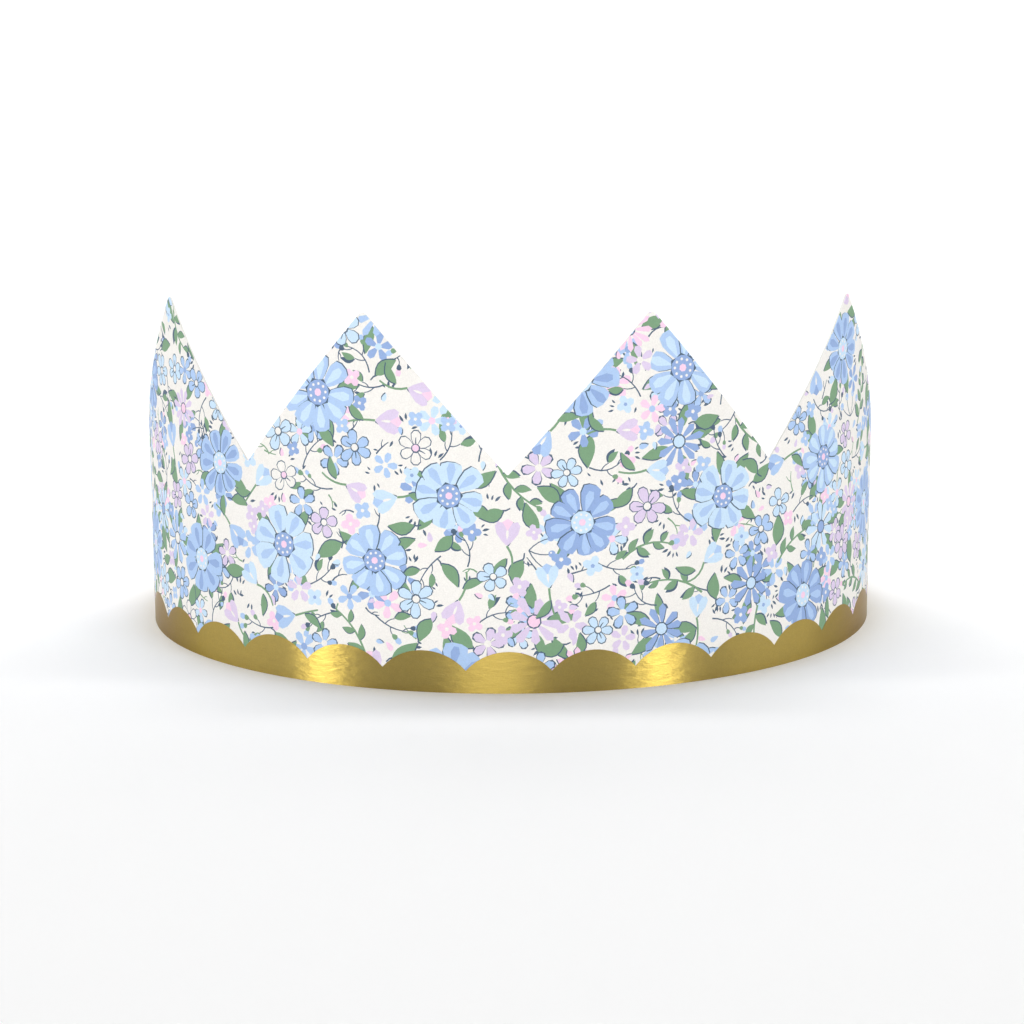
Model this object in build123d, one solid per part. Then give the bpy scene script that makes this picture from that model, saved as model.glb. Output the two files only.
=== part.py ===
from build123d import *
import math
import os

# Party crown: one die-cut strip of printed card, bent into a ring and closed at the back by a
# tongue pushed through a slit. A gold foil border with a scalloped upper edge runs round its foot.
# Millimetres. The ring's axis is +Z, the bottom edge lies on Z = 0 and the front faces -Y.
# Places on the strip are arc lengths from the middle of the front, growing towards +X.

# the strip of card
card = 0.4
ring_radius = 90.0
band_height = 15.0

# the peaks, measured to where their two straight slopes would meet
peak_count = 4
peak_pitch = 63.4
peak_height = 83.5
valley_height = 48.2
tip_radius = 1.2
valley_radius = 0.4
foot_radius = 8.0

# the foil border on the outer face
foil = 0.1
foil_inset = 0.1
scallop_count = 30
scallop_low = 5.1
scallop_high = 9.4

# the closure at the back
lap_gap = 0.1
lap_past_slit = 18.0
ease_radius = 60.0
slit_past_back = 8.0
slit_pitch = 12.0
spare_slits_each_way = 1
slit_margin = 10.0
slit_clearance = 0.1
neck_length = 3.0
neck_height = 7.0
head_height = 11.0
head_length = 12.0
head_end_height = 6.0
tongue_bend = 1.2
head_corner_radius = 1.2
corner_radius = 2.5

# radii of the card's middle line: on the ring, on the inner lap and on the tongue inside both
middle_radius = ring_radius - card / 2
lap_radius = middle_radius - card - foil - lap_gap
tongue_radius = lap_radius - card - lap_gap

slope = (peak_height - valley_height) / (peak_pitch / 2)
last_peak = peak_pitch * (peak_count - 1) / 2
slope_end = last_peak + (peak_height - band_height) / slope
scallop_pitch = math.tau * ring_radius / scallop_count
scallop_rise = scallop_high - scallop_low
scallop_radius = (scallop_pitch**2 / 4 + scallop_rise**2) / (2 * scallop_rise)
slit_angle = math.pi + slit_past_back / ring_radius
lap_start = slit_angle - (spare_slits_each_way * slit_pitch + slit_margin) / ring_radius - math.tau
through = ring_radius / 4


def turn(length):
    """Angle in radians round the ring for a length along the strip."""
    return length / ring_radius


def outward(angle):
    """Unit vector that points away from the axis, at an angle counted from the front."""
    return Vector(math.sin(angle), -math.cos(angle), 0)


def onward(angle):
    """Unit vector along the strip at that angle."""
    return Vector(math.cos(angle), math.sin(angle), 0)


def facing_plane(angle, radius, height):
    """Plane that faces outwards on the ring: x runs along the strip and y runs up."""
    centre = outward(angle) * radius + Vector(0, 0, height)
    return Plane(origin=centre, x_dir=onward(angle), z_dir=outward(angle))


def side_line(start, radius, steps, offset):
    """Edges of a path seen from above, moved outwards by an offset.

    The path starts on a circle of that radius round the axis. A step is a size and an angle: an arc
    of that radius that turns left, or right where the angle is negative, or a straight run of that
    length where the angle is 0.
    """
    point = outward(start) * (radius + offset)
    heading = onward(start)
    edges = []
    for size, angle in steps:
        if angle == 0:
            edge = Line(point, point + heading * size)
        else:
            bend = size + offset if angle > 0 else size - offset
            edge = JernArc(start=point, tangent=heading, radius=bend, arc_size=math.degrees(angle))
        edges.append(edge)
        point = edge @ 1
        heading = edge % 1
    return edges


def wall(start, radius, steps, inner, outer, height):
    """Upright wall along a path, from one offset of it to the other."""
    inside = side_line(start, radius, steps, inner)
    outside = side_line(start, radius, steps, outer)
    first_end = Line(inside[0] @ 0, outside[0] @ 0)
    last_end = Line(inside[-1] @ 1, outside[-1] @ 1)
    return extrude(make_face([*inside, *outside, first_end, last_end]), height)


def above_slope(low_place, high_place):
    """Everything above a straight cut of the flat strip, which winds round the ring as a helix."""
    span = turn(high_place - low_place)
    rise = slope * abs(high_place - low_place)
    rails = []
    for radius in (ring_radius - through, ring_radius + through):
        rail = Helix(math.tau * rise / abs(span), rise, radius, lefthand=span < 0)
        rails.append(Rot(0, 0, math.degrees(turn(low_place)) - 90) * rail)
    ramp = Face.make_surface_from_curves(rails[0].edge(), rails[1].edge())
    return extrude(ramp, peak_height, dir=(0, 0, 1))


def peak_places():
    """Places of the tips of the peaks on the strip."""
    return [(peak - (peak_count - 1) / 2) * peak_pitch for peak in range(peak_count)]


def valley_places():
    """Places of the valleys between the peaks."""
    return [tip + peak_pitch / 2 for tip in peak_places()[:-1]]


def peak_cutters():
    """What is cut away above the slopes of the peaks. The outermost slopes run down to the band."""
    cuts = []
    for tip in peak_places():
        for side in (-1, 1):
            low_place = tip + side * peak_pitch / 2
            low = valley_height
            if side * tip >= last_peak:
                low_place = side * slope_end
                low = band_height
            cuts.append(Pos(0, 0, low) * above_slope(low_place, tip))
    return cuts


def tongue_bends():
    """Angles of the double bend that takes the tongue from the ring to the inside of the lap.

    The first is what it covers round the axis, and the others are the bends inwards and back.
    """
    first = middle_radius - tongue_bend
    second = tongue_radius + tongue_bend
    apart = 2 * tongue_bend
    covered = math.acos((first**2 + second**2 - apart**2) / (2 * first * second))
    inwards = math.pi - math.acos((first**2 + apart**2 - second**2) / (2 * first * apart))
    return covered, inwards, inwards - covered


def neck_angle():
    """Angle at which the full height of the outer lap ends and the tongue's neck starts."""
    return slit_angle - tongue_bends()[0] / 2 - turn(neck_length)


def crown_path():
    """Start angle, start radius and steps of the card's middle line, up to the tongue's neck.

    The inner lap comes first, then an easing bend outwards to the ring, then the ring itself, whose
    end passes over the inner lap.
    """
    lap_end = slit_angle + turn(lap_past_slit) - math.tau
    ease = math.acos((lap_radius - ease_radius) / (middle_radius - ease_radius))
    straight = (middle_radius - ease_radius) * math.sin(ease)
    steps = [(lap_radius, lap_end - lap_start), (straight, 0), (ease_radius, ease)]
    steps.append((middle_radius, neck_angle() - lap_end - ease))
    return lap_start, lap_radius, steps


def slit_size():
    """Length along the strip and height of a slit that the tongue's neck passes with clearance.

    Each bent face of the neck leaves the slit where it is still the lap's gap short of level.
    """
    bend = tongue_bends()[1]
    face_bend = tongue_bend - card / 2
    still_to_go = math.sqrt(face_bend**2 - (face_bend - lap_gap) ** 2)
    length = 2 * (tongue_bend * math.sin(bend) - still_to_go)
    return length + 2 * slit_clearance, neck_height + 2 * slit_clearance


def slit_cutters():
    """The slits through the inner lap: the one in use and the spare ones on each side of it."""
    length, height = slit_size()
    depth = card + foil + lap_gap
    cuts = []
    for place in range(-spare_slits_each_way, spare_slits_each_way + 1):
        angle = slit_angle + turn(place * slit_pitch)
        spot = facing_plane(angle, lap_radius + foil / 2, band_height / 2)
        cuts.append(spot * Box(length, height, depth))
    return cuts


def cross_edges(shape, places):
    """Edges through the thickness of a layer at places given as angle, radius and height."""
    found = []
    for angle, radius, height in places:
        spot = outward(angle) * radius + Vector(0, 0, height)
        near = [edge for edge in shape.edges() if (edge @ 0.5 - spot).length < card / 2]
        found += [edge for edge in near if edge.length < 2 * card]
    return ShapeList(found)


def make_tongue():
    """The tongue: a neck that dives through the slit in use, and a wider head inside the lap."""
    covered, inwards, back_out = tongue_bends()
    bend_run = covered * ring_radius
    slit_length = slit_size()[0]
    steps = [(middle_radius, turn(neck_length)), (tongue_bend, inwards), (tongue_bend, -back_out)]
    steps.append((tongue_radius, turn(slit_length + head_length)))
    blank = wall(neck_angle(), middle_radius, steps, -card / 2, card / 2, band_height)

    ears = (bend_run + slit_length) / 2
    head_end = ears + head_length
    head_outline = Polyline(
        (ears, -head_height / 2),
        (head_end, -head_end_height / 2),
        (head_end, head_end_height / 2),
        (ears, head_height / 2),
        close=True,
    )
    head = make_face(head_outline)
    head = fillet(head.vertices(), head_corner_radius)
    neck_start = -bend_run - neck_length
    neck_end = ears + head_corner_radius
    neck = Pos((neck_start + neck_end) / 2, 0) * Rectangle(neck_end - neck_start, neck_height)
    spot = facing_plane(slit_angle, ring_radius - through, band_height / 2)
    return blank & extrude(spot * (head + neck), 2 * through)


def make_crown_band():
    """The card: a wall along its path, with the peaks, the low band, the slits and the tongue."""
    start, radius, steps = crown_path()
    band = wall(start, radius, steps, -card / 2, card / 2, peak_height)
    low_turn = math.tau - 2 * turn(slope_end)
    low_part = wall(turn(slope_end), ring_radius, [(ring_radius, low_turn)], -through, through, peak_height)
    band -= Pos(0, 0, band_height) * low_part
    band -= peak_cutters()

    tips = [(turn(place), middle_radius, peak_height) for place in peak_places()]
    valleys = [(turn(place), middle_radius, valley_height) for place in valley_places()]
    feet = [(turn(place), middle_radius, band_height) for place in (-slope_end, slope_end)]
    ends = [(start, lap_radius, 0), (start, lap_radius, band_height)]
    ends += [(neck_angle(), middle_radius, 0), (neck_angle(), middle_radius, band_height)]
    band = fillet(cross_edges(band, tips), tip_radius)
    band = fillet(cross_edges(band, valleys), valley_radius)
    band = fillet(cross_edges(band, feet), foot_radius)
    band = fillet(cross_edges(band, ends), corner_radius)
    band -= slit_cutters()
    return band + make_tongue()


def make_foil_border():
    """The foil: a thin wall on the card's outer face, its upper edge cut to a row of scallops."""
    start, radius, steps = crown_path()
    border = wall(start, radius, steps, card / 2, card / 2 + foil, scallop_high)
    border = Pos(0, 0, foil_inset) * border
    foil_at = card / 2 + foil / 2
    ends = [(start, lap_radius + foil_at, foil_inset)]
    ends += [(neck_angle(), middle_radius + foil_at, foil_inset)]
    border = fillet(cross_edges(border, ends), corner_radius)
    scallops = Part()
    for place in range(scallop_count):
        spot = facing_plane(turn(place * scallop_pitch), ring_radius, scallop_high - scallop_radius)
        scallops += spot * Cylinder(scallop_radius, through)
    return (border & scallops) - slit_cutters()


os.makedirs("parts", exist_ok=True)
export_step(make_crown_band(), "parts/crown_band.step")
export_step(make_foil_border(), "parts/foil_border.step")
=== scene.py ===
import math

import bpy
import numpy as np
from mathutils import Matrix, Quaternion, Vector
from mathutils.geometry import delaunay_2d_cdt

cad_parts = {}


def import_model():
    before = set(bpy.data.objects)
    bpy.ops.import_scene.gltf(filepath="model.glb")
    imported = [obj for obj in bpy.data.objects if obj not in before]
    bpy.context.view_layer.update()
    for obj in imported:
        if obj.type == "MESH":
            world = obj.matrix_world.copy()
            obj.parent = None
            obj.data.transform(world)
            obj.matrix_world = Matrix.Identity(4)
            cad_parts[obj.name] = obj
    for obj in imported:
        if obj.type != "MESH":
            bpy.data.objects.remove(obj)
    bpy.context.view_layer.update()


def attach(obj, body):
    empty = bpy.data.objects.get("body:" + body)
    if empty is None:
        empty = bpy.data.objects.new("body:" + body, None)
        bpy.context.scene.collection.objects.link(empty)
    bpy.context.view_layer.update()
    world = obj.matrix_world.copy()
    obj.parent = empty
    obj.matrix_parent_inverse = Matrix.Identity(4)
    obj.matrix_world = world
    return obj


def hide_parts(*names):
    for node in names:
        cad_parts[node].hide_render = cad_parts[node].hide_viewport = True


# A crown of printed card seen at the angle of the photograph. Everything on the crown is laid out on
# the flat strip, in millimetres: the first coordinate is the place along the strip, counted from the
# middle of the front, and the second is the height. bend_sheet() then bends the strip into the crown.

MM = 0.001

# the strip of card, as in the part, apart from TIP_ROUND: it is 0.02 more than the part's, which keeps
# the tips below the part's own
CARD = 0.4
RING = 90.0
BAND = 15.0
TIP_COUNT = 4
PITCH = 63.4
PEAK = 83.5
VALLEY = 48.2
TIP_ROUND = 1.22
VALLEY_ROUND = 0.4
FOOT_ROUND = 8.0
CORNER_ROUND = 2.5
FOIL = 0.1
SCALLOPS = 30
SCALLOP_LOW = 5.1
SCALLOP_HIGH = 9.4

# the closure at the back, as in the part
LAP_GAP = 0.1
LAP_PAST_SLIT = 18.0
EASE_RADIUS = 60.0
SLIT_PAST_BACK = 8.0
SLIT_PITCH = 12.0
SLIT_MARGIN = 10.0
SLIT_CLEARANCE = 0.1
NECK_LENGTH = 3.0
NECK_HEIGHT = 7.0
HEAD_HEIGHT = 11.0
HEAD_LENGTH = 12.0
HEAD_END_HEIGHT = 6.0
TONGUE_BEND = 1.2
HEAD_ROUND = 1.2

# what only the looks have: how far the foil's two faces stand off the card, where the part's foil
# touches it and is 0.1 thick, and how far its lower edge is above the card's, where the part's is 0.1
FOIL_FACES = (0.008, 0.05)
FOIL_BOTTOM = 0.02

# how finely curves are cut up: samples on each run of the card's path, of which every 25th on the
# tongue's two bends carries a line across the sheet, lines on the whole strip and on a scallop, and
# points on a rounded corner
PATH_STEPS = 400
BEND_STRIDE = 25
STRIP_LINES = 132
SCALLOP_LINES = 16
CORNER_STEPS = 7

# points nearer to each other than SAME_SPOT are one for the triangulator; corners that share a cell of
# CELL become one vertex; TINY keeps a length that is divided by from being 0; the lines across the
# sheet stick out past it by LINE_MARGIN
SAME_SPOT = 1e-4
CELL = 1e-3
TINY = 1e-20
LINE_MARGIN = 5.0

# the triangulator's two ways: fill everything between the outermost points, or only what is enclosed
FILL_ALL, FILL_ENCLOSED = 0, 1

# codes for surfaces without an ink of their own: bare card outside, a hole, the inner face, a cut edge
BARE, HOLE, INNER, EDGE = -1, -2, -3, -4

# the print: its seed, the height below which the foil hides it, and how far a point of a mark may lie
# past the upper edge, before the strip's start and past the slit in use and still count
PRINT_SEED = 7
HIDDEN_BELOW = 5.0
OVER_EDGE = 0.3
BEFORE_START = 2.0
PAST_SLIT = 18.0
# the sheet that the motifs are scattered on reaches past the strip's start, the slit in use and the
# strip's upper and lower edges; each kind has so many spots to try for each motif wanted; and anemones
# keep this much room between their circles
SHEET_BEFORE = 4.0
SHEET_PAST_SLIT = 24.0
SHEET_ABOVE = 2.0
SPOTS_PER_MOTIF = 14
ANEMONE_SPACE = 6.0

# the flat map: rows of the outer face, their share of its width, and where the column of the inner
# face and that of the cut edges start and how wide they are
MAP_ROWS = 3
MAP_OUTER = 0.78
MAP_INNER = (0.8, 0.14)
MAP_EDGE = (0.95, 0.03)
MAP_EDGE_SHIFT = 0.01
MAP_HEADROOM = 1.01
MAP_MARGIN = 0.002

# the camera, fitted to the photograph: metres, radians, and millimetres for the lens and its sensor
CAMERA_DISTANCE = 0.5986
CAMERA_RISE = 0.1821
CAMERA_AZIMUTH = 0.0059
CAMERA_ROLL = -0.0055
CAMERA_AIM = (0.00035, 0, 0.0238)
CAMERA_LENS = 82.82
CAMERA_SENSOR = 36.0

MIDDLE = RING - CARD / 2
LAP_RADIUS = MIDDLE - CARD - FOIL - LAP_GAP
TONGUE_RADIUS = LAP_RADIUS - CARD - LAP_GAP
SLOPE = (PEAK - VALLEY) / (PITCH / 2)
LAST_TIP = PITCH * (TIP_COUNT - 1) / 2
SLOPE_END = LAST_TIP + (PEAK - BAND) / SLOPE
SCALLOP_PITCH = math.tau * RING / SCALLOPS
SLIT = math.pi * RING + SLIT_PAST_BACK
STRIP_START = SLIT - SLIT_PITCH - SLIT_MARGIN - math.tau * RING


def double_bend():
    """Angles of the tongue's double bend: what it covers round the axis, the bend inwards and the bend
    back. Its two arcs touch, so the law of cosines gives each of them."""
    first = MIDDLE - TONGUE_BEND
    second = TONGUE_RADIUS + TONGUE_BEND
    apart = 2 * TONGUE_BEND
    covered = math.acos((first**2 + second**2 - apart**2) / (2 * first * second))
    inwards = math.pi - math.acos((first**2 + apart**2 - second**2) / (2 * first * apart))
    return covered, inwards, inwards - covered


COVERED, INWARDS, BACK_OUT = double_bend()
NECK_START = SLIT - COVERED * RING / 2 - NECK_LENGTH
FACE_BEND = TONGUE_BEND - CARD / 2
STILL_TO_GO = math.sqrt(FACE_BEND**2 - (FACE_BEND - LAP_GAP) ** 2)
SLIT_LENGTH = 2 * (TONGUE_BEND * math.sin(INWARDS) - STILL_TO_GO + SLIT_CLEARANCE)
SLIT_HEIGHT = NECK_HEIGHT + 2 * SLIT_CLEARANCE
SLIT_PLACES = [SLIT + step * SLIT_PITCH - math.tau * RING for step in (-1, 0, 1)]

def card_path():
    """The card's middle line seen from above, as columns of strip place, x, y and outward normal.

    The path is a chain of arcs and straight runs. On an arc a point is its centre plus the radius
    along the normal, and the normal turns evenly. The strip place of a point is the ring's radius
    times its angle round the axis.
    """
    lap_end = (SLIT + LAP_PAST_SLIT) / RING - math.tau
    ease = math.acos((LAP_RADIUS - EASE_RADIUS) / (MIDDLE - EASE_RADIUS))
    straight = (MIDDLE - EASE_RADIUS) * math.sin(ease)
    start = STRIP_START / RING
    steps = [(LAP_RADIUS, lap_end - start), (straight, 0.0), (EASE_RADIUS, ease)]
    steps += [(MIDDLE, (NECK_START + NECK_LENGTH) / RING - lap_end - ease), (TONGUE_BEND, INWARDS)]
    steps += [(TONGUE_BEND, -BACK_OUT), (TONGUE_RADIUS, (SLIT_LENGTH + HEAD_LENGTH) / RING)]
    facing = start
    point = LAP_RADIUS * np.array([math.sin(start), -math.cos(start)])
    points, normals = [], []
    for size, angle in steps:
        share = np.linspace(0, 1, PATH_STEPS)
        turned_to = facing + angle * share
        normal = np.stack([np.sin(turned_to), -np.cos(turned_to)], 1)
        if angle:
            side = math.copysign(size, angle)
            path = point - side * normal[0] + side * normal
        else:
            path = point + size * share[:, None] * [math.cos(facing), math.sin(facing)]
        points.append(path)
        normals.append(normal)
        point = path[-1]
        facing += angle
    points = np.concatenate(points)
    normals = np.concatenate(normals)
    place = np.unwrap(np.arctan2(points[:, 0], -points[:, 1]))
    place = (place + start - place[0]) * RING
    return np.column_stack([place, points, normals])


PATH = card_path()
# the fifth and sixth runs of the path are the tongue's double bend
BEND_PLACES = PATH[4 * PATH_STEPS : 6 * PATH_STEPS : BEND_STRIDE, 0]


def on_path(place, offset):
    """Points at an offset outwards from the card's middle line, and the outward normals there."""
    x, y, normal_x, normal_y = (np.interp(place, PATH[:, 0], PATH[:, column]) for column in (1, 2, 3, 4))
    size = np.hypot(normal_x, normal_y)
    normal_x, normal_y = normal_x / size, normal_y / size
    return x + offset * normal_x, y + offset * normal_y, normal_x, normal_y


def rounded(corners):
    """A polygon with its corners rounded: each corner comes with its radius.

    With a half angle h between the corner's two sides, the arc of radius r touches them at r / tan(h)
    from the corner and its centre is r / sin(h) away along the bisector. Points on the arc blend its
    first and last arm from the centre, each weighted by the sine of its share of the sweep.
    """
    corners = np.array(corners, float)
    spot, radius = corners[:, :2], corners[:, 2:]
    back = np.roll(spot, 1, 0) - spot
    ahead = np.roll(spot, -1, 0) - spot
    back /= np.linalg.norm(back, axis=1)[:, None]
    ahead /= np.linalg.norm(ahead, axis=1)[:, None]
    half = np.arccos(np.clip((back * ahead).sum(1), -1, 1))[:, None] / 2
    middle = back + ahead
    middle /= np.maximum(np.linalg.norm(middle, axis=1), 1e-9)[:, None]
    centre = spot + middle * radius / np.sin(half)
    reach = radius / np.tan(half)
    first = spot + back * reach - centre
    last = spot + ahead * reach - centre
    sweep = np.maximum(math.pi - 2 * half, 1e-6)[:, :, None]
    share = np.linspace(0, 1, CORNER_STEPS)[None, :, None]
    arc = np.sin((1 - share) * sweep) * first[:, None] + np.sin(share * sweep) * last[:, None]
    arc = arc / np.sin(sweep)
    points = (centre[:, None] + arc).reshape(-1, 2)
    apart = np.linalg.norm(points - np.roll(points, 1, 0), axis=1)
    return points[apart > SAME_SPOT]


def head_place(ahead):
    """Strip place of a point on the tongue's head that is so far ahead of the slit in a straight line:
    the arc sine of that distance over the tongue's radius is its angle past the slit."""
    return SLIT + RING * math.asin(ahead / TONGUE_RADIUS)


def card_outline():
    """Outline of the whole strip: the lap's start, the tongue at the other end and the row of peaks."""
    centre = BAND / 2
    ears = (COVERED * RING + SLIT_LENGTH) / 2
    ear, end = head_place(ears), head_place(ears + HEAD_LENGTH)
    corners = [(STRIP_START, 0, CORNER_ROUND), (NECK_START, 0, CORNER_ROUND)]
    corners.append((NECK_START, centre - NECK_HEIGHT / 2, 0))
    corners.append((ear, centre - NECK_HEIGHT / 2, 0))
    corners.append((ear, centre - HEAD_HEIGHT / 2, HEAD_ROUND))
    corners.append((end, centre - HEAD_END_HEIGHT / 2, HEAD_ROUND))
    corners += [(place, BAND - height, size) for place, height, size in corners[:1:-1]]
    corners += [(NECK_START, BAND, CORNER_ROUND), (SLOPE_END, BAND, FOOT_ROUND)]
    for tip in range(TIP_COUNT):
        place = LAST_TIP - tip * PITCH
        corners.append((place, PEAK, TIP_ROUND))
        if tip < TIP_COUNT - 1:
            corners.append((place - PITCH / 2, VALLEY, VALLEY_ROUND))
    corners += [(-SLOPE_END, BAND, FOOT_ROUND), (STRIP_START, BAND, CORNER_ROUND)]
    return rounded(corners)


def foil_outline():
    """Outline of the foil: straight below, and above a row of arcs of one radius that meet in cusps.

    With a half chord c and a rise h, the radius is (c squared plus h squared) over 2 h. The height at a
    place is a circle's, by its distance from the nearest arc's middle.
    """
    rise = SCALLOP_HIGH - SCALLOP_LOW
    radius = (SCALLOP_PITCH**2 / 4 + rise**2) / (2 * rise)
    reach = SCALLOPS * SCALLOP_LINES * 3 // 4
    place = np.arange(-reach, reach + 1) * SCALLOP_PITCH / SCALLOP_LINES
    place = place[(place > STRIP_START) & (place < NECK_START)]
    place = np.concatenate([[NECK_START], place[::-1], [STRIP_START]])
    aside = (place / SCALLOP_PITCH + 0.5) % 1 - 0.5
    height = SCALLOP_HIGH - radius + np.sqrt(radius**2 - (aside * SCALLOP_PITCH) ** 2)
    top = np.column_stack([place, height, np.zeros(len(place))])
    bottom = [(STRIP_START, FOIL_BOTTOM, CORNER_ROUND), (NECK_START, FOIL_BOTTOM, CORNER_ROUND)]
    return rounded(np.concatenate([bottom, top]))


def slit_outlines():
    """The three slits through the inner lap."""
    corner = np.array([[-1, -1], [1, -1], [1, 1], [-1, 1]]) * [SLIT_LENGTH / 2, SLIT_HEIGHT / 2]
    return [corner + [place, BAND / 2] for place in SLIT_PLACES]


def outline_top(place):
    """Height of the card's upper edge: it falls from the nearest tip by the slope times the distance,
    and never below the low band."""
    place = np.abs(place)
    to_tip = np.where(place < LAST_TIP, np.abs((place % PITCH) - PITCH / 2), place - LAST_TIP)
    return np.maximum(PEAK - SLOPE * to_tip, BAND)


def shows(points):
    """Whether any of a mark can be seen: it is below the upper edge somewhere and above the foil."""
    over = points[:, 1] > HIDDEN_BELOW
    under = points[:, 1] < outline_top(points[:, 0]) + OVER_EDGE
    on_strip = (points[:, 0] > STRIP_START - BEFORE_START) & (points[:, 0] < SLIT + PAST_SLIT)
    return bool((under & on_strip).any() and (over & on_strip).any())


# Each motif is a list of marks, an outline with the name of its ink, drawn round the origin from the
# bottom up. Its numbers are millimetres, radians or shares of the motif's own size.


def turned(points, angle):
    """Points turned about the origin by an angle."""
    c, s = math.cos(angle), math.sin(angle)
    return points @ np.array([[c, s], [-s, c]])


def ring_of(radius, count, lobes=0, depth=0.0, start=0.0):
    """Closed outline round the origin. Its radius swells and shrinks by a share of itself with the
    cosine's size, once for each lobe; 0.6 is about that size's mean."""
    t = start + np.linspace(0, math.tau, count, endpoint=False)
    r = radius * (1 + depth * (np.abs(np.cos(lobes * (t - start) / 2)) - 0.6))
    return np.stack([r * np.cos(t), r * np.sin(t)], 1)


def petal(root, tip, width, count=9, blunt=0.7, notch=0.0):
    """Drop along +x: half its width is a sine of the way along, raised to a power, which sets how blunt
    its root is; a notch pulls the middle of its tip in."""
    t = np.linspace(0, math.tau, count, endpoint=False) + math.pi / count
    along = 0.5 - 0.5 * np.cos(t)
    y = width / 2 * np.sin(t) * along**blunt
    dent = notch * np.exp(-((y / (0.18 * width)) ** 2)) * (along > 0.7)
    x = root + (tip - root) * along * (1 - dent)
    return np.stack([x, y], 1)


def blade(length, width, bend, count=6):
    """Leaf along +x with a point at both ends: half its width is a sine of the way along, widest a
    little before its middle, and its middle line is a parabola."""
    x = np.linspace(0, 1, count + 1)
    middle = bend * 4 * x * (1 - x)
    half = width / 2 * np.sin(math.pi * x**0.85)
    upper = np.stack([x * length, middle + half], 1)
    lower = np.stack([x * length, middle - half], 1)[1:-1]
    return np.concatenate([lower, upper[::-1]])


def stroke(points, width, end_width=None):
    """Line of a given width through points, narrowing towards its end: each side is offset by half the
    width across the direction of travel."""
    points = np.asarray(points, float)
    ahead = np.gradient(points, axis=0)
    across = np.stack([-ahead[:, 1], ahead[:, 0]], 1) / np.linalg.norm(ahead, axis=1)[:, None]
    half = np.linspace(width, width if end_width is None else end_width, len(points))[:, None] / 2
    return np.concatenate([points - across * half, (points + across * half)[::-1]])


def arc_points(length, bend, count=6):
    """Points along +x on a parabola whose middle is off the line by the bend."""
    x = np.linspace(0, 1, count)
    return np.stack([x * length, bend * 4 * x * (1 - x)], 1)


def drop_shade(points, amount):
    """A copy of an outline moved down and to the left, which shows past it as a drawn edge."""
    return points + np.array([-amount * 0.6, -amount])


def leaf_marks(length, width, bend):
    """A leaf: a green blade on a slate one that is a little longer and shows past it on one side."""
    under = blade(length * 1.06, width, bend) + [-0.03 * length, math.copysign(0.26, bend)]
    return [(under, "slate"), (blade(length, width, bend), "leaf")]


def sprig(rng):
    """A curved stem with leaves in turn on its two sides and a bud at its end. A leaf's two blades are
    turned apart, so that its slate edge varies."""
    length = rng.uniform(11, 14)
    bend = rng.uniform(1.0, 2.2) * rng.choice([-1, 1])
    path = arc_points(length, bend, 7) - [length / 2, bend * 0.6]
    marks = [(stroke(path, 0.55, 0.35), "leaf")]
    for at, side in ((1, 1), (2, -1), (3, 1), (4, -1), (5, 1)):
        size = rng.uniform(3.4, 4.6) * (1 - 0.07 * (at - 1))
        for shape, ink in leaf_marks(size, size * 0.46, 0.25 * side):
            marks.append((turned(shape, side * rng.uniform(0.6, 0.95)) + path[at], ink))
    return marks + [(shape + path[-1] - [0.3, 0], ink) for shape, ink in bud_marks(rng, 2.6)]


def bud_marks(rng, size):
    """A closed bud along +x: one petal in a green or slate cup."""
    ink = rng.choice(["pink", "blue", "lilac", "deep"], p=[0.3, 0.35, 0.2, 0.15])
    return [
        (petal(0, size * 1.05, size * 0.75, 8), ink),
        (petal(-0.1 * size, size * 0.5, size * 0.62, 8, 0.4), "leaf" if rng.random() < 0.5 else "slate"),
    ]


def tulip(rng):
    """A cup of three pointed petals seen from the side, on a curved stem with one leaf."""
    size = rng.uniform(5.2, 6.2)
    pairs = (("sky", "blue"), ("blue", "deep"), ("lilac", "pink"), ("blue", "deep"))
    light, dark = pairs[rng.integers(4)]
    stem = arc_points(6.5, rng.uniform(-1.2, 1.2), 6)
    marks = [(stroke(turned(stem, math.pi + 0.1), 0.5, 0.4), "leaf")]
    for shape, ink in leaf_marks(5.2, 1.9, 0.5):
        marks.append((turned(shape, math.pi - 0.8) + [-2.6, 0], ink))
    back = petal(0, size, size * 0.62, 9, 0.45)
    side = petal(0, size * 0.96, size * 0.52, 9, 0.5)
    marks += [(drop_shade(back, 0.3), "slate"), (back, dark)]
    marks += [(turned(side, -0.38), light), (turned(side, 0.38), light)]
    marks.append((petal(size * 0.2, size * 0.6, size * 0.16, 6), "paper"))
    return [(shape - [1.0, 0], ink) for shape, ink in marks]


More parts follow.
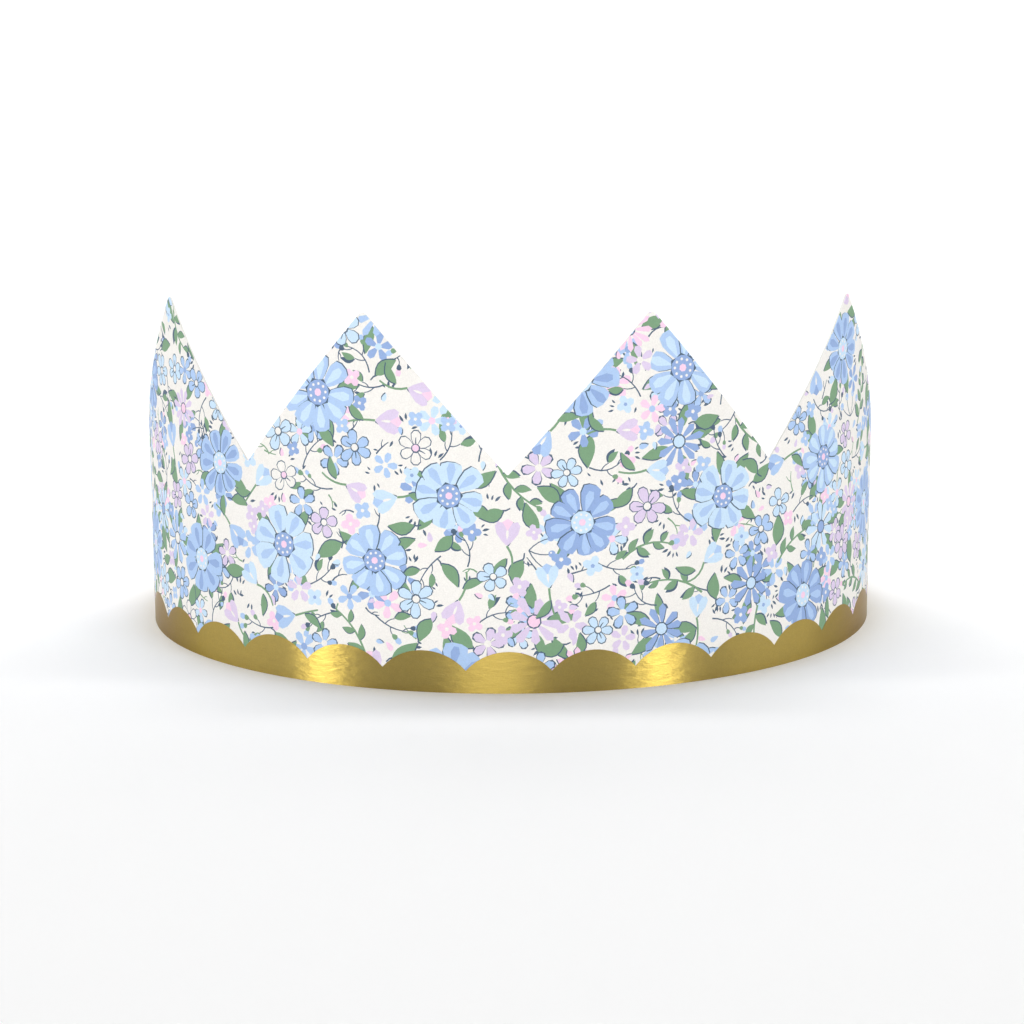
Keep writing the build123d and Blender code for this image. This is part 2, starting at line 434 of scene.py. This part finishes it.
def anemone(rng):
    """A large open flower: a ring of broad petals with drawn edges, each with a flame in another blue,
    round an eye with a ring of pale dots. Where the petals are even in number, every other one lies on
    top."""
    size = rng.uniform(8.6, 9.8)
    trios = (("blue", "deep", "sky"), ("deep", "blue", "sky"), ("blue", "sky", "deep"))
    trios += (("sky", "blue", "deep"),)
    outer, inner, eye = trios[rng.choice(4, p=[0.34, 0.22, 0.24, 0.2])]
    count = rng.choice([7, 8, 9])
    marks = []
    turn = rng.uniform(0, math.tau)
    order = range(count) if count % 2 else [*range(0, count, 2), *range(1, count, 2)]
    for k in order:
        angle = turn + math.tau * (k + rng.uniform(-0.12, 0.12)) / count
        wide = size * 5.6 / count * rng.uniform(0.95, 1.2)
        shape = turned(petal(size * 0.12, size * rng.uniform(0.86, 1.04), wide, 12, 0.7, 0.1), angle)
        flame = turned(petal(size * 0.26, size * 0.82, size * 0.32, 8, 0.8), angle)
        marks += [(drop_shade(shape, 0.25), "slate"), (shape, outer), (flame, inner)]
    marks.append((ring_of(size * 0.32, 14, 7, 0.18), "slate"))
    marks.append((ring_of(size * 0.29, 12), eye))
    dots = 9
    for k in range(dots):
        angle = math.tau * k / dots
        spot = size * 0.2 * np.array([math.cos(angle), math.sin(angle)])
        marks.append((ring_of(size * 0.036, 5) + spot, "paper"))
    marks.append((ring_of(size * 0.09, 7), "pink"))
    return marks


def daisy(rng):
    """A flower of many slim petals round a ringed centre."""
    size = rng.uniform(5.2, 6.4)
    pairs = (("lilac", "pink"), ("sky", "deep"), ("blue", "paper"), ("pink", "blue"), ("deep", "sky"))
    ink, centre = pairs[rng.choice(5, p=[0.2, 0.25, 0.25, 0.1, 0.2])]
    count = int(rng.integers(9, 13))
    marks = []
    turn = rng.uniform(0, math.tau)
    lined = rng.random() < 0.4
    for k in range(count):
        angle = turn + math.tau * (k + rng.uniform(-0.15, 0.15)) / count
        reach = size * rng.uniform(0.84, 1.05)
        shape = turned(petal(size * 0.1, reach, size * 4.6 / count, 7, 0.9), angle)
        if lined:
            marks.append((drop_shade(shape, 0.22), "slate"))
        marks.append((shape, ink))
    marks.append((ring_of(size * 0.27, 10), "slate"))
    marks.append((ring_of(size * 0.22, 9), centre))
    return marks


def star_flower(rng):
    """A small flower of five round petals, some with a drawn edge, round a dot."""
    size = rng.uniform(2.9, 3.7)
    pairs = (("sky", "pink"), ("blue", "paper"), ("pink", "blue"))
    pairs += (("lilac", "paper"), ("deep", "sky"), ("blue", "deep"))
    ink, centre = pairs[rng.choice(6, p=[0.12, 0.3, 0.16, 0.12, 0.16, 0.14])]
    angles = rng.uniform(0, math.tau) + math.tau * np.arange(5) / 5
    marks = []
    if rng.random() < 0.45:
        edge = petal(0, size * 1.09, size * 0.95, 9, 0.75)
        marks += [(turned(edge, angle), "slate") for angle in angles]
    body = petal(0, size, size * 0.78, 8, 0.75)
    marks += [(turned(body, angle), ink) for angle in angles]
    return marks + [(ring_of(size * 0.24, 7), centre)]


def speedwell(rng):
    """A tiny four-petalled flower."""
    size = rng.uniform(1.5, 2.0)
    ink = rng.choice(["pink", "lilac", "blue", "sky", "deep"], p=[0.25, 0.2, 0.3, 0.15, 0.1])
    eye = "paper" if ink != "sky" else "deep"
    return [(ring_of(size, 16, 4, 0.55, rng.uniform(0, 2)), ink), (ring_of(size * 0.26, 5), eye)]


def berries(rng):
    """Three or four berries on a forked slate stem."""
    marks = []
    ink = rng.choice(["deep", "blue", "pink", "lilac"], p=[0.3, 0.35, 0.2, 0.15])
    count = int(rng.integers(3, 5))
    root = np.array([-3.4, 0.0])
    for k in range(count):
        angle = (k - (count - 1) / 2) * 0.62 + rng.uniform(-0.08, 0.08)
        reach = rng.uniform(5.0, 6.6)
        path = turned(arc_points(reach, 0.5 * math.copysign(1, angle), 5), angle) + root
        marks.append((stroke(path, 0.26, 0.2), "slate"))
        marks.append((ring_of(rng.uniform(0.75, 0.95), 9) + path[-1], ink))
        marks.append((ring_of(0.24, 5) + path[-1] + [-0.25, 0.25], "paper"))
    return marks


def single_leaf(rng):
    """One leaf on a short stalk."""
    length = rng.uniform(5.2, 7.4)
    bend = rng.uniform(0.3, 0.7) * rng.choice([-1, 1])
    marks = [(stroke(arc_points(2.0, 0.2, 3) - [1.6, 0.1], 0.3, 0.4), "slate")]
    marks += leaf_marks(length, length * rng.uniform(0.42, 0.55), bend)
    return [(shape - [length / 2, bend / 2], ink) for shape, ink in marks]


def seeds(rng):
    """One to three slate drops side by side."""
    marks = []
    count = int(rng.integers(1, 4))
    for k in range(count):
        size = rng.uniform(1.1, 1.9)
        spot = [0.1, 0.75 * (k - (count - 1) / 2)]
        marks.append((turned(blade(size, size * 0.36, 0.06, 3), 0.5 * (k - 1)) + spot, "slate"))
    return marks


def twig(rng):
    """A short forked line."""
    length = rng.uniform(3.0, 5.0)
    bend = rng.uniform(-0.8, 0.8)
    ink = rng.choice(["leaf", "slate"])
    path = arc_points(length, bend, 5) - [length / 2, 0]
    side = turned(arc_points(length * 0.45, 0.2, 3), 0.7) + path[2]
    return [(stroke(path, 0.38, 0.18), ink), (stroke(side, 0.28, 0.14), ink)]


def lined_flower(rng):
    """Five or six round petals, each drawn round with a line, about a small ringed eye."""
    size = rng.uniform(3.3, 4.3)
    ink = rng.choice(["sky", "lilac", "paper", "blue"], p=[0.36, 0.32, 0.1, 0.22])
    count = int(rng.integers(5, 7))
    turn = rng.uniform(0, math.tau)
    angles = turn + math.tau * (np.arange(count) + rng.uniform(-0.12, 0.12, count)) / count
    reach = size * rng.uniform(0.88, 1.04, count)
    wide = size * 4.3 / count
    ways = list(zip(reach, angles))
    marks = [(turned(petal(0, far + 0.26, wide + 0.5, 10, 0.6), angle), "slate") for far, angle in ways]
    marks += [(turned(petal(0.2, far, wide, 10, 0.6), angle), ink) for far, angle in ways]
    marks.append((ring_of(size * 0.27, 8), "slate"))
    marks.append((ring_of(size * 0.2, 8) + [0.05, 0.07], "paper" if ink != "paper" else "pink"))
    for _ in range(2):
        spoke = turned(arc_points(size * 0.34, 0.05, 3) + [size * 0.26, 0], rng.choice(angles))
        marks.append((stroke(spoke, 0.3, 0.14), "slate"))
    return marks


def bud_spray(rng):
    """A thin drawn stem that forks into stalks with small buds, and a leaf or two low on it."""
    length = rng.uniform(6.5, 9.0)
    bend = rng.uniform(0.5, 1.5) * rng.choice([-1, 1])
    path = arc_points(length, bend, 7) - [length / 2, bend / 2]
    marks = [(stroke(path, 0.34, 0.2), "slate")]
    for at, side in ((2, 1), (3, -1), (5, 1)):
        reach = rng.uniform(1.6, 2.8)
        stalk = turned(arc_points(reach, 0.25 * side, 4), side * rng.uniform(0.5, 1.0)) + path[at]
        marks.append((stroke(stalk, 0.26, 0.18), "slate"))
        if at == 2 or rng.random() < 0.3:
            size = rng.uniform(3.0, 4.2)
            for shape, ink in leaf_marks(size, size * 0.44, 0.3 * side):
                marks.append((turned(shape, side * rng.uniform(0.4, 0.9)) + stalk[-1], ink))
        else:
            for shape, ink in bud_marks(rng, rng.uniform(1.9, 2.6)):
                marks.append((turned(shape, side * rng.uniform(0.3, 0.8)) + stalk[-1], ink))
    last = bud_marks(rng, rng.uniform(2.1, 2.8))
    return marks + [(shape + path[-1] - [0.2, 0], ink) for shape, ink in last]


def fallen_petals(rng):
    """A loose petal, most of them with a drawn edge."""
    ink = rng.choice(["pink", "lilac", "sky", "blue"], p=[0.25, 0.3, 0.2, 0.25])
    size = rng.uniform(1.7, 2.5)
    first = turned(petal(0, size, size * 0.72, 8, 0.5), rng.uniform(-0.4, 0.4)) - [size / 2, 0]
    marks = [(drop_shade(first, 0.22), "slate"), (first, ink)]
    return marks if rng.random() < 0.7 else marks[1:]


def leaf_fan(rng, radius):
    """Leaves, and now and then a small flower, that show from under a large one."""
    marks = []
    count = int(rng.integers(3, 6))
    first = rng.uniform(0, math.tau)
    for k in range(int(radius * 0.3 + rng.uniform(0, 1.2))):
        angle = first + math.tau * (k + rng.uniform(0.3, 0.7)) / count
        spot = radius * rng.uniform(0.86, 1.05) * np.array([math.cos(angle), math.sin(angle)])
        marks += [(shape + spot, ink) for shape, ink in star_flower(rng)]
    for k in range(count):
        angle = first + math.tau * (k + rng.uniform(-0.25, 0.25)) / count
        length = rng.uniform(5.0, 6.8)
        leaf = leaf_marks(length, length * rng.uniform(0.36, 0.46), rng.uniform(-0.6, 0.6))
        marks += [(turned(shape + [radius * 0.62, 0], angle), ink) for shape, ink in leaf]
    return marks


# each motif: its maker, the circle that it needs, how many are tried, and the layer it is printed in
KINDS = (
    (anemone, 7.8, 30, 4),
    (sprig, 4.7, 24, 3),
    (daisy, 4.7, 32, 3),
    (tulip, 4.2, 36, 3),
    (lined_flower, 3.4, 84, 3),
    (bud_spray, 3.0, 130, 1),
    (star_flower, 2.5, 200, 2),
    (single_leaf, 2.2, 130, 2),
    (berries, 2.5, 60, 1),
    (star_flower, 1.9, 170, 1),
    (single_leaf, 1.9, 300, 1),
    (speedwell, 1.3, 330, 2),
    (fallen_petals, 1.1, 380, 2),
    (twig, 1.15, 620, 0),
    (seeds, 0.8, 1500, 0),
)


def lay_out(seed):
    """Marks of the whole print, from the bottom layer up.

    The motifs are placed from the largest to the smallest. Each takes the first of its random spots
    where its circle touches no other.
    """
    rng = np.random.default_rng(seed)
    taken = np.zeros((0, 3))
    layers = [[] for _ in range(max(kind[3] for kind in KINDS) + 1)]
    for make, radius, wanted, layer in KINDS:
        count = wanted * SPOTS_PER_MOTIF
        places = rng.uniform(STRIP_START - SHEET_BEFORE, SLIT + SHEET_PAST_SLIT, count)
        heights = rng.uniform(-SHEET_ABOVE, PEAK + SHEET_ABOVE, count)
        space = ANEMONE_SPACE if make is anemone else 0.0
        placed = 0
        for spot in np.column_stack([places, heights]):
            if placed >= wanted:
                break
            if spot[1] > outline_top(spot[0]) + radius * 1.2 or spot[1] + radius < HIDDEN_BELOW:
                continue
            gap = np.hypot(taken[:, 0] - spot[0], taken[:, 1] - spot[1]) - taken[:, 2] - radius
            if len(gap) and gap.min() < space:
                continue
            taken = np.vstack([taken, [*spot, radius]])
            placed += 1
            facing = rng.uniform(0, math.tau)
            layers[layer] += [(turned(shape, facing) + spot, ink) for shape, ink in make(rng)]
            if make in (anemone, daisy):
                layers[1] += [(shape + spot, ink) for shape, ink in leaf_fan(rng, radius)]
    return [mark for layer in layers for mark in layer]


def anticlockwise(points):
    """The same outline, wound anticlockwise: its signed area is half the sum of its cross products."""
    ahead = np.roll(points, -1, 0)
    area = (points[:, 0] * ahead[:, 1] - points[:, 1] * ahead[:, 0]).sum()
    return points if area > 0 else points[::-1]


def triangulate(outlines, lines, way):
    """Corners, triangles that keep to all the outlines and lines, and for each triangle the outlines
    that it lies in."""
    outlines = [anticlockwise(points) for points in outlines]
    starts = np.cumsum([0] + [len(points) for points in outlines])
    faces = [list(range(first, last)) for first, last in zip(starts[:-1], starts[1:])]
    points = np.concatenate(outlines + [lines.reshape(-1, 2)])
    edges = (starts[-1] + np.arange(len(lines) * 2)).reshape(-1, 2)
    corners = list(map(Vector, points.tolist()))
    spots, _, found, _, _, within = delaunay_2d_cdt(corners, edges.tolist(), faces, way, SAME_SPOT)
    return np.array(spots), np.array(found), within


def cross_lines(start, end, spacing):
    """Upright lines across the sheet, close enough together for the bent sheet to look round, and
    closer where the tongue bends."""
    place = np.arange(math.floor(start / spacing), math.ceil(end / spacing) + 1) * spacing
    place = np.union1d(place, BEND_PLACES)
    low, high = np.full(len(place), -LINE_MARGIN), np.full(len(place), PEAK + LINE_MARGIN)
    return np.stack([np.column_stack([place, low]), np.column_stack([place, high])], 1)


def cut_sheet(outline, holes, marks, spacing):
    """The flat sheet: the triangles of its outer face, the ink of each, those of its inner face, which
    has no print, and its rim as directed edges.

    The topmost mark that a triangle lies in gives its ink. An edge is on the rim if no triangle runs
    along it the other way.
    """
    lines = cross_lines(outline[:, 0].min(), outline[:, 0].max(), spacing)
    shapes = [outline, *(points for points, _ in marks), *holes]
    inks = np.array([BARE, *(ink for _, ink in marks), *([HOLE] * len(holes))])
    spots, found, within = triangulate(shapes, lines, FILL_ALL)
    top = np.array([max(group, default=-1) for group in within])
    bottom = np.array([min(group, default=-1) for group in within])
    kept = (bottom == 0) & (inks[top] != HOLE)
    found = found[kept]
    edges = np.stack([found, np.roll(found, -1, 1)], -1).reshape(-1, 2)
    ahead, back = edges @ [len(spots), 1], edges @ [1, len(spots)]
    rim = spots[edges[~np.isin(ahead, back)]]
    outer = spots[found]
    spots, found, _ = triangulate([], np.concatenate([rim, lines]), FILL_ENCLOSED)
    inner = spots[found]
    for hole in holes:
        middle = inner.mean(1)
        inner = inner[~((middle > hole.min(0)) & (middle < hole.max(0))).all(1)]
    return outer, inks[top[kept]], inner, rim


def flat_map(flat, offset, low, first_inner, first_edge):
    """Places on the flat map for the corners of all triangles.

    The outer face lies in rows, one above the other, each with the same share of the strip's length.
    The inner face and the cut edges are two columns beside it, with the strip running upwards.
    """
    along = flat[..., 0] - flat[..., 0].min()
    run = along.max() / MAP_ROWS
    row = np.clip(np.floor(along.mean(1) / run), 0, MAP_ROWS - 1)[:, None]
    tall = flat[..., 1].max() * MAP_HEADROOM
    places = np.stack([(along / run - row) * MAP_OUTER, (flat[..., 1] / tall + row) / MAP_ROWS], -1)
    upwards = along / (MAP_ROWS * run)
    inner = np.stack([MAP_INNER[0] + MAP_INNER[1] * flat[..., 1] / tall, upwards], -1)
    shift = MAP_EDGE_SHIFT * (offset > low)
    edges = np.stack([MAP_EDGE[0] + MAP_EDGE[1] * flat[..., 1] / tall + shift, upwards], -1)
    places[first_inner:] = inner[first_inner:]
    places[first_edge:] = edges[first_edge:]
    return places * (1 - 2 * MAP_MARGIN) + MAP_MARGIN


def bend_sheet(name, sheet, faces, colours):
    """Closed solid of a flat sheet bent along the card's path, with its two faces at two offsets.

    A point of the flat sheet goes to the path's point at its place along the strip, moved out by the
    offset, at the same height. Two triangles join each edge of the rim to the other face. The two
    faces take their normals from the path, the cut edges from the cross product of their own sides.
    """
    outer, ink, inner, rim = sheet
    low, high = faces
    first, second = rim[:, 0], rim[:, 1]
    upper = np.stack([second, first, first], 1)
    lower = np.stack([second, first, second], 1)
    flat = np.concatenate([outer, inner[:, ::-1], upper, lower])
    sides = [[high] * 3, [low] * 3, [high, high, low], [high, low, low]]
    offset = np.repeat(sides, [len(outer), len(inner), len(rim), len(rim)], axis=0)
    first_inner, first_edge = len(outer), len(outer) + len(inner)
    x, y, normal_x, normal_y = on_path(flat[..., 0], offset)
    points = np.stack([x, y, flat[..., 1]], -1) * MM
    normals = np.stack([normal_x, normal_y, np.zeros_like(x)], -1)
    normals[first_inner:] *= -1
    edge = points[first_edge:]
    square = np.cross(edge[:, 1] - edge[:, 0], edge[:, 2] - edge[:, 0])
    square /= np.maximum(np.linalg.norm(square, axis=1), TINY)[:, None]
    normals[first_edge:] = square[:, None]

    cells = np.round(np.dstack([flat, offset]).reshape(-1, 3) / CELL).astype(np.int64)
    _, keep, index = np.unique(cells, axis=0, return_index=True, return_inverse=True)
    index = index.reshape(-1, 3)
    good = (index != np.roll(index, 1, 1)).all(1)
    data = bpy.data.meshes.new(name)
    data.from_pydata(points.reshape(-1, 3)[keep].tolist(), [], index[good].tolist())
    piece = bpy.data.objects.new(name, data)
    bpy.context.scene.collection.objects.link(piece)

    shade = np.concatenate([ink, np.full(len(inner), INNER), np.full(len(edge), EDGE)])
    codes = sorted(colours)
    table = np.array([colours[code] for code in codes])
    paint = data.attributes.new("ink", "FLOAT_COLOR", "CORNER")
    corner_colours = np.repeat(table[np.searchsorted(codes, shade[good])], 3, 0)
    paint.data.foreach_set("color", corner_colours.astype(np.float32).ravel())
    places = flat_map(flat, offset, low, first_inner, first_edge)[good]
    data.uv_layers.new(name="OFBake").data.foreach_set("uv", places.astype(np.float32).ravel())
    data.polygons.foreach_set("use_smooth", np.ones(len(data.polygons), bool))
    data.normals_split_custom_set(normals[good].reshape(-1, 3).tolist())
    return piece


class Number:
    """A number at a shader socket. Each arithmetic operator on it adds one Math node."""

    def __init__(self, tree, socket):
        self.tree = tree
        self.socket = socket

    def op(self, operation, *values):
        """The result of a Math node on some numbers."""
        node = self.tree.nodes.new("ShaderNodeMath")
        node.operation = operation
        for socket, value in zip(node.inputs, values):
            connect(self.tree, socket, value)
        return Number(self.tree, node.outputs[0])

    def __add__(self, other):
        return self.op("ADD", self, other)

    def __mul__(self, other):
        return self.op("MULTIPLY", self, other)

    __radd__ = __add__
    __rmul__ = __mul__


def connect(tree, socket, value):
    """Gives a socket a link or a plain value."""
    if isinstance(value, Number):
        tree.links.new(value.socket, socket)
    elif isinstance(value, bpy.types.NodeSocket):
        tree.links.new(value, socket)
    else:
        socket.default_value = value


def fill(tree, node, values):
    """Fills a node's inputs, by name or by number, with links or plain values."""
    for key, value in values.items():
        connect(tree, node.inputs[key], value)


def add_node(tree, kind, settings=None, values=None):
    """Adds a node, sets it up and then fills its inputs."""
    node = tree.nodes.new(kind)
    for key, value in (settings or {}).items():
        setattr(node, key, value)
    fill(tree, node, values or {})
    return node


def noise(tree, place, scale, detail=2.0, roughness=0.5):
    """Noise between 0 and 1 whose patches are about one over the scale in size, in metres."""
    values = {"Vector": place, "Scale": scale, "Detail": detail, "Roughness": roughness}
    return Number(tree, add_node(tree, "ShaderNodeTexNoise", None, values).outputs[0])


def stretched(tree, place, scale, rotation=(0.0, 0.0, 0.0)):
    """Places scaled apart along each axis, which draws a noise out into streaks."""
    values = {"Vector": place, "Scale": scale, "Rotation": rotation}
    return add_node(tree, "ShaderNodeMapping", None, values).outputs[0]


def dimmed(tree, colour, level):
    """A colour times a number."""
    grey = add_node(tree, "ShaderNodeCombineColor", None, {0: level, 1: level, 2: level}).outputs[0]
    settings = {"data_type": "RGBA", "blend_type": "MULTIPLY"}
    return add_node(tree, "ShaderNodeMix", settings, {0: 1.0, 6: colour, 7: grey}).outputs[2]


def bumped(tree, height, strength, distance, under=None):
    """A normal tilted by a height, on top of another bumped normal if there is one."""
    values = {"Height": height, "Strength": strength, "Distance": distance}
    if under:
        values["Normal"] = under
    return add_node(tree, "ShaderNodeBump", None, values).outputs[0]


def new_material(name):
    """An empty node material with its shader and its place on the object, in metres."""
    material = bpy.data.materials.new(name)
    material.use_nodes = True
    tree = material.node_tree
    tree.nodes.clear()
    shader = add_node(tree, "ShaderNodeBsdfPrincipled")
    output = add_node(tree, "ShaderNodeOutputMaterial")
    tree.links.new(shader.outputs[0], output.inputs[0])
    place = add_node(tree, "ShaderNodeTexCoord").outputs["Object"]
    return material, tree, shader, place


def linear(red, green, blue):
    """A screen colour of 0 to 255 as the linear colour that a shader takes."""
    screen = np.array([red, green, blue]) / 255
    value = np.where(screen <= 0.04045, screen / 12.92, ((screen + 0.055) / 1.055) ** 2.4)
    return (*value.tolist(), 1.0)


def printed_card():
    """Coated card: the ink of each part of the print, finely mottled, on a slightly grainy sheet."""
    material, tree, shader, place = new_material("printed_card")
    ink = add_node(tree, "ShaderNodeAttribute", {"attribute_name": "ink"}).outputs["Color"]
    fine = noise(tree, place, 3300.0, 1.0)
    blot = noise(tree, place, 900.0, 3.0)
    cloud = noise(tree, place, 60.0, 2.0)
    grain = 0.6 * noise(tree, place, 1500.0, 3.0) + 0.4 * noise(tree, place, 260.0, 2.0)
    values = {
        "Base Color": dimmed(tree, ink, 0.81 + 0.2 * fine + 0.07 * blot + 0.014 * cloud),
        "Roughness": 0.5 + 0.16 * blot,
        "Specular IOR Level": 0.35,
        "Normal": bumped(tree, grain, 0.35, 0.03 * MM),
    }
    fill(tree, shader, values)
    return material


def gold_foil():
    """Thin metal foil pressed on card: fine streaks along the strip, a mottled grain and dulled patches.

    The strong anisotropy, turned by a quarter, spreads a lamp upright, so each low lamp draws a band
    across the foil. The clear coat adds the pale gleam over it.
    """
    material, tree, shader, place = new_material("gold_foil")
    streak = noise(tree, stretched(tree, place, (120.0, 120.0, 6500.0)), 1.0, 3.0, 0.6)
    sheen = noise(tree, stretched(tree, place, (60.0, 60.0, 900.0)), 1.0, 2.0, 0.5)
    fine = noise(tree, place, 3400.0, 2.0)
    blot = noise(tree, place, 700.0, 3.0)
    slant = stretched(tree, place, (260.0, 260.0, 900.0), (0.0, 0.5, 0.0))
    crease = noise(tree, slant, 1.0, 3.0, 0.6)
    streaks = bumped(tree, 0.5 * streak + 0.2 * fine, 0.6, 0.02 * MM)
    metal = (0.42, 0.302, 0.06, 1.0)
    values = {
        "Base Color": dimmed(tree, metal, 0.75 + 0.28 * fine + 0.16 * blot + 0.06 * sheen),
        "Metallic": 1.0,
        "Roughness": 0.31 + 0.08 * blot + 0.04 * sheen,
        "Anisotropic": 0.9,
        "Anisotropic Rotation": 0.25,
        "Specular Tint": (0.42, 0.31, 0.10, 1.0),
        "Coat Weight": 0.65,
        "Coat Roughness": 0.32,
        "Normal": bumped(tree, crease, 1.0, 0.1 * MM, streaks),
    }
    fill(tree, shader, values)
    return material


def plain_floor():
    """Matt white paper for the floor and what rises behind it.

    It glows a little for what the camera sees, straight, mirrored or through glass, so the background
    is whiter and no light is added to the crown.
    """
    material, tree, shader, _ = new_material("floor_paper")
    rays = add_node(tree, "ShaderNodeLightPath").outputs
    seen = Number(tree, rays["Is Camera Ray"]) + rays["Is Glossy Ray"] + rays["Is Transmission Ray"]
    values = {
        "Base Color": linear(250, 250, 250),
        "Roughness": 0.9,
        "Specular IOR Level": 0.1,
        "Emission Color": seen,
        "Emission Strength": 0.08,
    }
    fill(tree, shader, values)
    return material


def wear(piece, material):
    """Gives a piece its only material."""
    piece.data.materials.clear()
    piece.data.materials.append(material)


def make_floor():
    """One sheet that lies flat under the crown and then curves up behind it: a quarter circle joins the
    level part to an upright one."""
    near, far, curve, height, half_width = -7.0, 0.9, 0.7, 2.2, 6.0
    bend = np.linspace(0, math.pi / 2, 17)
    y = np.concatenate([[near], far + curve * np.sin(bend), [far + curve]])
    z = np.concatenate([[0], curve - curve * np.cos(bend), [height]])
    x = np.array([-half_width, half_width])
    points = np.stack([np.repeat(x[:, None], len(y), 1), np.tile(y, (2, 1)), np.tile(z, (2, 1))], -1)
    first = np.arange(len(y) - 1)
    faces = np.column_stack([first, first + len(y), first + len(y) + 1, first + 1])
    data = bpy.data.meshes.new("floor")
    data.from_pydata(points.reshape(-1, 3).tolist(), [], faces.tolist())
    data.polygons.foreach_set("use_smooth", np.ones(len(data.polygons), bool))
    floor = bpy.data.objects.new("floor", data)
    bpy.context.scene.collection.objects.link(floor)
    return floor


def soft_box(name, spot, target, size, power):
    """A rectangular soft lamp at a spot, turned to face a target."""
    data = bpy.data.lights.new(name, "AREA")
    data.shape = "RECTANGLE"
    data.size, data.size_y = size
    data.energy = power
    lamp = bpy.data.objects.new(name, data)
    lamp.location = spot
    lamp.rotation_euler = (Vector(target) - Vector(spot)).to_track_quat("-Z", "Y").to_euler()
    bpy.context.scene.collection.objects.link(lamp)


def around(azimuth, distance, height):
    """A spot at an azimuth counted from the front towards +X, in metres."""
    turned_to = math.radians(azimuth)
    return (math.sin(turned_to) * distance, -math.cos(turned_to) * distance, height)


def light_scene():
    """Low boxes in front and at the sides that draw the bright bands on the foil, a large box overhead,
    weaker ones behind, one for the backdrop and an even grey surround. Sizes are in metres and powers
    in watts."""
    crown = (0, 0, 0.04)
    narrow, broad, side, rear = (0.20, 0.18), (0.54, 0.18), (0.9, 0.18), (0.5, 0.8)
    away, low = 1.3, 0.10
    soft_box("left_box", around(-57, away, low), crown, narrow, 4.7)
    soft_box("middle_box", around(-5, 1.5, low), crown, broad, 4.3)
    soft_box("right_box", around(44, away, low), crown, narrow, 4.7)
    soft_box("left_side_box", around(-92, away, low), crown, side, 1.4)
    soft_box("right_side_box", around(86, away, low), crown, side, 1.4)
    soft_box("top_box", (0, -0.3, 1.7), (0, 0, 0), (1.8, 1.8), 8.6)
    soft_box("rear_left_box", around(-150, 1.0, 0.8), crown, rear, 0.7)
    soft_box("rear_right_box", around(150, 1.0, 0.8), crown, rear, 0.7)
    soft_box("backdrop_box", (0, 0.5, 2.0), (0, 1.6, 0.4), (2.6, 0.5), 26.0)
    world = bpy.data.worlds.new("surround")
    world.use_nodes = True
    background = world.node_tree.nodes["Background"]
    background.inputs["Color"].default_value = (1, 1, 1, 1)
    background.inputs["Strength"].default_value = 0.19
    bpy.context.scene.world = world


def set_camera():
    """The camera of the photograph. It stands off its aim by the distance, risen and turned by two
    angles, and is then rolled about its line of sight."""
    data = bpy.data.cameras.new("camera")
    data.sensor_width = CAMERA_SENSOR
    data.lens = CAMERA_LENS
    camera = bpy.data.objects.new("camera", data)
    level = CAMERA_DISTANCE * math.cos(CAMERA_RISE)
    height = CAMERA_DISTANCE * math.sin(CAMERA_RISE)
    offset = Vector(around(math.degrees(CAMERA_AZIMUTH), level, height))
    camera.location = Vector(CAMERA_AIM) + offset
    look = (-offset).to_track_quat("-Z", "Y")
    camera.rotation_mode = "QUATERNION"
    camera.rotation_quaternion = Quaternion(look @ Vector((0, 0, 1)), CAMERA_ROLL) @ look
    bpy.context.scene.collection.objects.link(camera)
    bpy.context.scene.camera = camera


INKS = {
    "paper": linear(243, 240, 235),
    "sky": linear(203, 227, 248),
    "blue": linear(175, 203, 240),
    "deep": linear(147, 174, 221),
    "slate": linear(74, 96, 120),
    "leaf": linear(122, 160, 124),
    "pink": linear(248, 211, 234),
    "lilac": linear(223, 207, 234),
}
INK_NAMES = list(INKS)


def main():
    """Builds the crown, its surroundings and its light."""
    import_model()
    outline = card_outline()
    holes = slit_outlines()
    marks = [(points, INK_NAMES.index(ink)) for points, ink in lay_out(PRINT_SEED) if shows(points)]
    colours = dict(enumerate(INKS.values()))
    colours.update({BARE: INKS["paper"], INNER: linear(240, 237, 230), EDGE: linear(244, 242, 238)})
    spacing = np.ptp(outline[:, 0]) / STRIP_LINES
    sheet = cut_sheet(outline, holes, marks, spacing)
    card = bend_sheet("printed_crown", sheet, (-CARD / 2, CARD / 2), colours)
    wear(card, printed_card())
    sheet = cut_sheet(foil_outline(), holes, [], SCALLOP_PITCH / SCALLOP_LINES)
    faces = (CARD / 2 + FOIL_FACES[0], CARD / 2 + FOIL_FACES[1])
    foil = bend_sheet("foil_edging", sheet, faces, dict.fromkeys((BARE, INNER, EDGE), INKS["paper"]))
    wear(foil, gold_foil())
    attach(card, "root")
    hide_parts("crown_band")
    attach(foil, "root")
    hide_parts("foil_border")
    floor = make_floor()
    wear(floor, plain_floor())
    light_scene()
    set_camera()
    bpy.context.scene.view_settings.view_transform = "Standard"


main()
